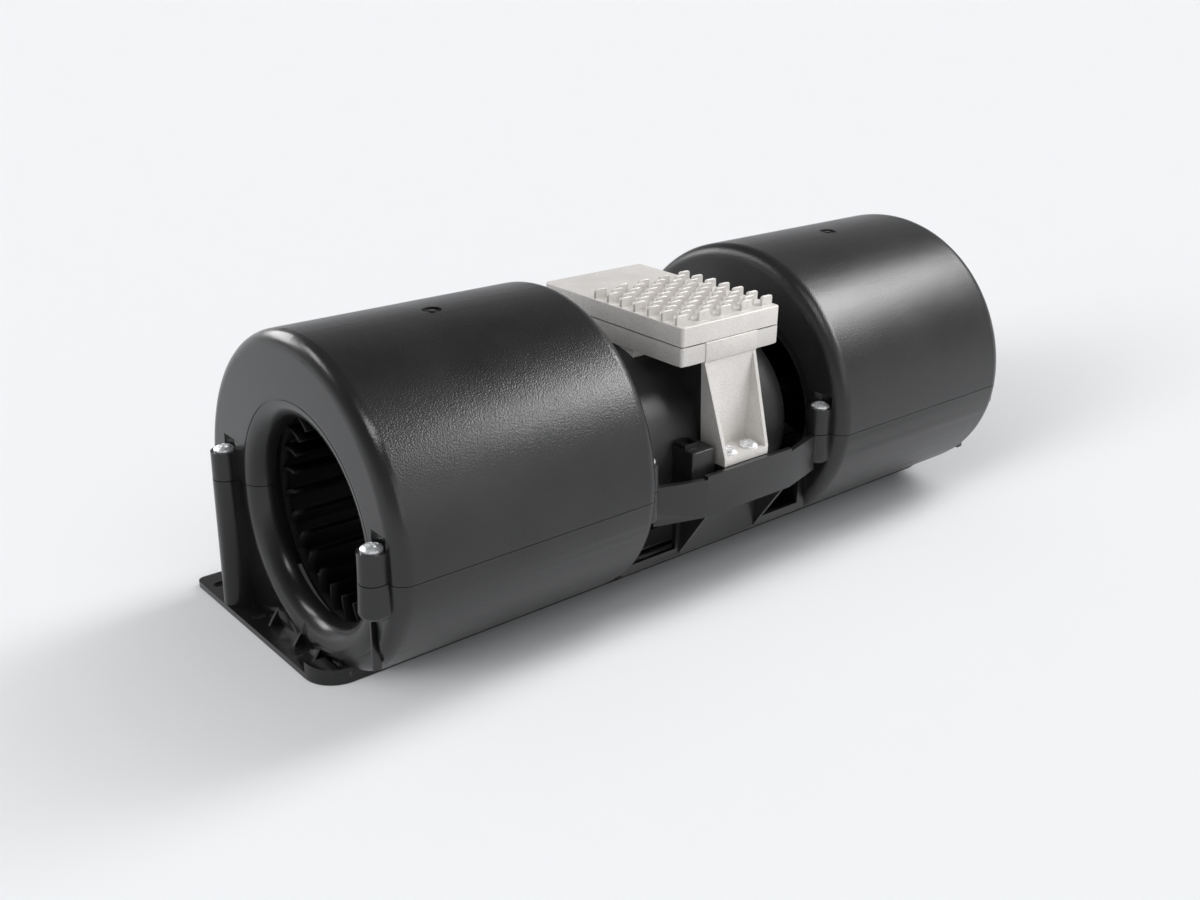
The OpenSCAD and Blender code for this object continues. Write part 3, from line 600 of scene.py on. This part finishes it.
class Finish:
    """One material under construction: its tree, its main shader and the place on the part."""

    def __init__(self, name, colour, roughness, metallic=0.0):
        self.mat = bpy.data.materials.new(name)
        self.mat.use_nodes = True
        self.tree = self.mat.node_tree
        self.main = self.tree.nodes["Principled BSDF"]
        self.main.inputs["Base Color"].default_value = (*colour, 1)
        self.main.inputs["Roughness"].default_value = roughness
        self.main.inputs["Metallic"].default_value = metallic
        self.place = self.tree.nodes.new("ShaderNodeTexCoord").outputs["Object"]

    def node(self, kind, **values):
        made = self.tree.nodes.new(kind)
        for key, value in values.items():
            setattr(made, key, value)
        return made

    def link(self, start, end):
        self.tree.links.new(start, end)

    def noise(self, scale, detail=2.0, rough=0.5):
        made = self.node("ShaderNodeTexNoise")
        made.inputs["Scale"].default_value = scale
        made.inputs["Detail"].default_value = detail
        made.inputs["Roughness"].default_value = rough
        self.link(self.place, made.inputs["Vector"])
        return made.outputs["Fac"]

    def cells(self, scale):
        made = self.node("ShaderNodeTexVoronoi")
        made.inputs["Scale"].default_value = scale
        self.link(self.place, made.inputs["Vector"])
        return made.outputs["Distance"]

    def span(self, value, low, high, to_low=0.0, to_high=1.0):
        """Stretch the range from low to high to a new range."""
        made = self.node("ShaderNodeMapRange")
        made.inputs["From Min"].default_value = low
        made.inputs["From Max"].default_value = high
        made.inputs["To Min"].default_value = to_low
        made.inputs["To Max"].default_value = to_high
        self.link(value, made.inputs["Value"])
        return made.outputs["Result"]

    def maths(self, operation, a, b=0):
        made = self.node("ShaderNodeMath", operation=operation)
        for socket, value in zip(made.inputs, (a, b)):
            if isinstance(value, (int, float)):
                socket.default_value = value
            else:
                self.link(value, socket)
        return made.outputs[0]

    def add(self, a, b):
        return self.maths("ADD", a, b)

    def times(self, a, b):
        return self.maths("MULTIPLY", a, b)

    def stripes(self, distance, pitch):
        """A wave from -1 to 1 that comes back after each pitch."""
        return self.maths("SINE", self.times(distance, 2 * math.pi / pitch))

    def tint(self, factor, dark, light):
        made = self.node("ShaderNodeMix", data_type="RGBA")
        for socket, colour in (("A", dark), ("B", light)):
            if isinstance(colour, tuple):
                made.inputs[socket].default_value = (*colour, 1)
            else:
                self.link(colour, made.inputs[socket])
        self.link(factor, made.inputs["Factor"])
        return made.outputs["Result"]

    def axes(self):
        split = self.node("ShaderNodeSeparateXYZ")
        self.link(self.place, split.inputs[0])
        return split.outputs["X"], split.outputs["Y"], split.outputs["Z"]

    def from_shaft(self):
        """Distance of the point from the motor shaft, and from the middle of the blower along it."""
        x, y, z = self.axes()
        up = self.add(z, -AXIS_Z)
        squares = self.add(self.times(y, y), self.times(up, up))
        return self.maths("POWER", squares, 0.5), self.maths("ABSOLUTE", x)

    def colour(self, source):
        self.link(source, self.main.inputs["Base Color"])

    def rough(self, source):
        self.link(source, self.main.inputs["Roughness"])

    def mottle(self, noise, dark, light):
        """Let the colour wander between two tones."""
        self.colour(self.tint(self.span(noise, *NOISE_RANGE), dark, light))

    def vary_gloss(self, noise, low, high):
        """Let the roughness wander between two values."""
        self.rough(self.span(noise, *NOISE_RANGE, low, high))

    def relief(self, height, depth, strength):
        made = self.node("ShaderNodeBump")
        made.inputs["Distance"].default_value = depth
        made.inputs["Strength"].default_value = strength
        self.link(height, made.inputs["Height"])
        self.link(made.outputs[0], self.main.inputs["Normal"])


def dress(finish, *names):
    for name in names:
        slots = shown[name].data.materials
        if len(slots) == 0:
            slots.append(finish.mat)
        for i in range(len(slots)):
            slots[i] = finish.mat
    print(finish.mat.name, "on", ", ".join(names))


# %% [markdown]
# ### Black moulded plastic
# The housings are moulded in glass-filled black plastic. The mould is spark-eroded, so the outside has
# a fine even grain that breaks highlights into sparkles. The bellmouth and the air path are polished
# smooth, so there the grain fades out, and the rims of the ends are half polished. The distance from
# the shaft and the place along it tell these zones apart.

# %% Grained plastic of the housings
AIR_PATH_RADIUS = (0.0562, 0.0556)  # the grain fades out between these distances from the shaft
HOUSING_SIDE = (0.059, 0.0595)  # and only beyond these distances from the middle
RIM_SIDE = (0.1895, 0.191)  # where the rims of the ends start

grained = Finish("grained_black_plastic", (0.012, 0.012, 0.0125), 0.4)
shaft_distance, along = grained.from_shaft()
smooth_zone = grained.times(
    grained.span(shaft_distance, *AIR_PATH_RADIUS), grained.span(along, *HOUSING_SIDE)
)
rim_zone = grained.span(along, *RIM_SIDE)
cloud = grained.noise(28, 3.0, 0.6)
grained.mottle(cloud, (0.0095, 0.0095, 0.0099), (0.0145, 0.0144, 0.0148))
cloud_gloss = grained.span(cloud, *NOISE_RANGE, -0.02, 0.03)
grained.rough(grained.add(cloud_gloss, grained.span(rim_zone, 0, 1, 0.31, 0.24)))

fine = grained.noise(1350, 1.5, 0.6)
coarse = grained.noise(620, 1.0, 0.5)
grain = grained.add(fine, grained.times(coarse, 0.1))
grain_zone = grained.times(
    grained.maths("SUBTRACT", 1.0, smooth_zone), grained.span(rim_zone, 0, 1, 1.0, 0.35)
)
grained.relief(grained.times(grain, grain_zone), 0.00014, 1.0)
dress(grained, "left_cover", "right_cover", "base_housing", "flange_corner_walls")

# %% [markdown]
# ### The wheels
# The blower wheels are moulded in soft black plastic that swallows nearly all light. The blade ends
# beside the inlets get a painted highlight: the place along the shaft makes those ends lighter in
# colour.

# %% Wheel plastic
# where along the shaft the painted highlight on the blade ends lies
OUTER_PAINTED_HIGHLIGHT, INNER_PAINTED_HIGHLIGHT = (0.1765, 0.1795), (0.0815, 0.0785)

wheel_black = Finish("wheel_black_plastic", (0.0025, 0.0025, 0.0026), 0.55)
wheel_black.main.inputs["Specular IOR Level"].default_value = 0.18
haze = wheel_black.noise(90, 4.0, 0.6)
wheel_along = wheel_black.from_shaft()[1]
# painted highlight: the blade ends beside the inlets are made lighter in colour, as if lit
painted_highlight_at_blade_ends = wheel_black.add(
    wheel_black.span(wheel_along, *OUTER_PAINTED_HIGHLIGHT), wheel_black.span(wheel_along, *INNER_PAINTED_HIGHLIGHT)
)
dark_tone = wheel_black.tint(
    wheel_black.span(haze, 0.35, 0.7), (0.0015, 0.0015, 0.0016), (0.0035, 0.0035, 0.0036)
)
wheel_black.colour(wheel_black.tint(painted_highlight_at_blade_ends, dark_tone, (0.035, 0.035, 0.036)))
wheel_black.vary_gloss(haze, 0.5, 0.62)
wheel_black.relief(wheel_black.noise(700), 0.00004, 0.3)
dress(wheel_black, "left_wheel", "right_wheel", "left_wheel_disc", "right_wheel_disc")

# %% [markdown]
# ### Cast aluminium
# The electronics box is die-cast and then blasted. Blasting leaves a light warm grey with fine dark
# and bright specks, and long flow marks stay faintly visible. Two noises of very different size make
# the colour, and a cell pattern makes the pits.

# %% Blasted aluminium of the box and its legs
cast = Finish("blasted_cast_aluminium", (0.7, 0.68, 0.655), 0.5, 0.3)
speck = cast.noise(1700, 3.0, 0.7)
flow = cast.noise(45, 4.0, 0.62)
body_tone = cast.tint(cast.span(flow, 0.32, 0.68), (0.60, 0.577, 0.553), (0.69, 0.67, 0.647))
cast.colour(cast.tint(cast.span(speck, 0.32, 0.5), (0.50, 0.478, 0.455), body_tone))
cast.vary_gloss(speck, 0.62, 0.42)
pits = cast.cells(900)
cast.relief(cast.add(cast.times(speck, 0.8), cast.times(pits, 0.5)), 0.00016, 0.6)
dress(cast, "controller_housing", "heatsink_lid_cast", "tray_wall")

# %% [markdown]
# ### Screws, shaft and bearings
# Zinc-plated screws look bluish white and mirror the room with a soft blur. The shaft and the bearing
# rings are ground steel with fine lines that run round the axis. The clips on the hubs are spring
# steel, which hardening turns dark.

# %% Zinc plate
zinc = Finish("zinc_plate", (0.85, 0.87, 0.89), 0.3, 0.75)
bloom = zinc.noise(600, 3.0, 0.6)
zinc.mottle(bloom, (0.88, 0.9, 0.915), (0.955, 0.97, 0.98))
zinc.vary_gloss(bloom, 0.22, 0.36)
zinc.relief(zinc.noise(2600), 0.00003, 0.35)
dress(zinc, "cover_screws", "leg_screws", "lid_screws", "motor_screws")

# %% Ground steel
ground = Finish("ground_steel", (0.55, 0.56, 0.57), 0.28, 1.0)
lines = ground.node("ShaderNodeTexNoise", noise_dimensions="1D")
lines.inputs["Scale"].default_value = 5200
lines.inputs["Detail"].default_value = 3
ground.link(ground.axes()[0], lines.inputs["W"])
ground.mottle(ground.noise(60, 3), (0.42, 0.43, 0.44), (0.6, 0.61, 0.62))
ground.vary_gloss(lines.outputs["Fac"], 0.2, 0.4)
ground.relief(lines.outputs["Fac"], 0.00003, 0.4)
dress(ground, "shaft", "left_bearing", "right_bearing")

# %% Spring steel of the hub clips
spring = Finish("blued_spring_steel", (0.16, 0.165, 0.175), 0.33, 1.0)
spring_tone = spring.noise(220, 3.0)
spring.mottle(spring_tone, (0.10, 0.105, 0.12), (0.24, 0.24, 0.25))
spring.vary_gloss(spring_tone, 0.26, 0.44)
spring.relief(spring.noise(1800), 0.00003, 0.4)
dress(spring, "left_hub_clip", "right_hub_clip")

# %% [markdown]
# ### The motor
# The wide cover on the left is satin black plastic. The can on the right is steel with a thin powder
# coat, which has the tiny orange-peel waves of all powder coats. Inside are stacked steel sheets, which
# show as fine stripes along the shaft, enamelled copper wire, and a magnet of pressed grey ferrite.

# %% Motor cover and can
satin = Finish("satin_black_cover", (0.013, 0.013, 0.0135), 0.42)
satin_tone = satin.noise(35, 3.0)
satin.mottle(satin_tone, (0.010, 0.010, 0.0105), (0.019, 0.019, 0.0195))
satin.vary_gloss(satin_tone, 0.36, 0.48)
satin.relief(satin.noise(1100), 0.00006, 0.4)
dress(satin, "motor_cover")

powder = Finish("powder_coated_can", (0.022, 0.022, 0.0225), 0.5)
peel = powder.noise(420, 1.5, 0.4)
dust = powder.noise(2400)
powder.colour(
    powder.tint(powder.span(dust, 0.35, 0.65), (0.018, 0.018, 0.0185), (0.030, 0.030, 0.0305))
)
powder.vary_gloss(peel, 0.44, 0.56)
powder.relief(powder.add(peel, powder.times(dust, 0.25)), 0.00009, 0.5)
dress(powder, "motor_can")

# %% Laminations, copper and magnet
SHEET_PITCH, WIRE_PITCH = 0.0005, 0.0008

lamination = Finish("stacked_laminations", (0.22, 0.225, 0.23), 0.45, 0.9)
sheets = lamination.stripes(lamination.axes()[0], SHEET_PITCH)
lamination.colour(
    lamination.tint(lamination.span(sheets, -1, 1), (0.10, 0.10, 0.105), (0.30, 0.305, 0.31))
)
lamination.vary_gloss(lamination.noise(300, 3), 0.36, 0.6)
lamination.relief(sheets, 0.00008, 0.5)
dress(lamination, "stator_core")

copper = Finish("enamelled_copper", (0.46, 0.15, 0.055), 0.3, 0.9)
wires = copper.stripes(copper.from_shaft()[0], WIRE_PITCH)
copper.colour(copper.tint(copper.span(wires, -1, 1), (0.20, 0.055, 0.02), (0.55, 0.2, 0.08)))
copper.vary_gloss(copper.noise(500), 0.24, 0.4)
copper.relief(wires, 0.0002, 0.7)
dress(copper, "windings")

ferrite = Finish("sintered_ferrite", (0.05, 0.05, 0.053), 0.55, 0.3)
sinter = ferrite.noise(900, 4.0, 0.7)
ferrite.mottle(sinter, (0.035, 0.035, 0.038), (0.075, 0.075, 0.08))
ferrite.vary_gloss(sinter, 0.45, 0.65)
ferrite.relief(sinter, 0.00008, 0.5)
dress(ferrite, "rotor_magnet")

# %% [markdown]
# ### Inside the electronics box
# The circuit board is glass fibre under green solder mask. Copper tracks show through it as slightly
# lighter lines, and a brick pattern draws them. The capacitors and the plastic packages on it share one
# dark finish. The seal between the tray and the lid is grey silicone.

# %% The board
board = Finish("green_solder_mask", (0.015, 0.085, 0.035), 0.35)
tracks = board.node("ShaderNodeTexBrick")
tracks.inputs["Scale"].default_value = 260
tracks.inputs["Mortar Size"].default_value = 0.12
tracks.inputs["Color1"].default_value = (0.012, 0.07, 0.03, 1)
tracks.inputs["Color2"].default_value = (0.02, 0.1, 0.04, 1)
tracks.inputs["Mortar"].default_value = (0.04, 0.16, 0.07, 1)
board.link(board.place, tracks.inputs["Vector"])
board.colour(tracks.outputs["Color"])
board.vary_gloss(board.noise(300), 0.28, 0.45)
board.relief(tracks.outputs["Fac"], 0.00005, 0.5)
dress(board, "controller_board")

# %% Board parts and seal
package = Finish("moulded_packages", (0.022, 0.022, 0.026), 0.45)
package_tone = package.noise(700, 3.0)
package.mottle(package_tone, (0.016, 0.016, 0.02), (0.036, 0.036, 0.042))
package.vary_gloss(package_tone, 0.36, 0.55)
package.relief(package_tone, 0.00005, 0.5)
dress(package, "board_parts")

rubber = Finish("grey_silicone_seal", (0.05, 0.05, 0.052), 0.7)
rubber_tone = rubber.noise(1200, 3.0)
rubber.mottle(rubber_tone, (0.035, 0.035, 0.037), (0.07, 0.07, 0.072))
rubber.vary_gloss(rubber_tone, 0.62, 0.8)
rubber.relief(rubber_tone, 0.00006, 0.5)
dress(rubber, "lid_seal")

# %% [markdown]
# ### The connector's plastic
# The connector comes from another mould than the housings. Its grain is shallower, so the light on it
# is calmer.

# %% Connector plastic
connector_black = Finish("connector_plastic", (0.011, 0.011, 0.0115), 0.38)
connector_tone = connector_black.noise(160, 3.0)
connector_black.mottle(connector_tone, (0.009, 0.009, 0.0095), (0.016, 0.016, 0.0165))
connector_black.vary_gloss(connector_tone, 0.3, 0.44)
connector_black.relief(connector_black.noise(1300), 0.00005, 0.4)
dress(connector_black, "connector_shell")
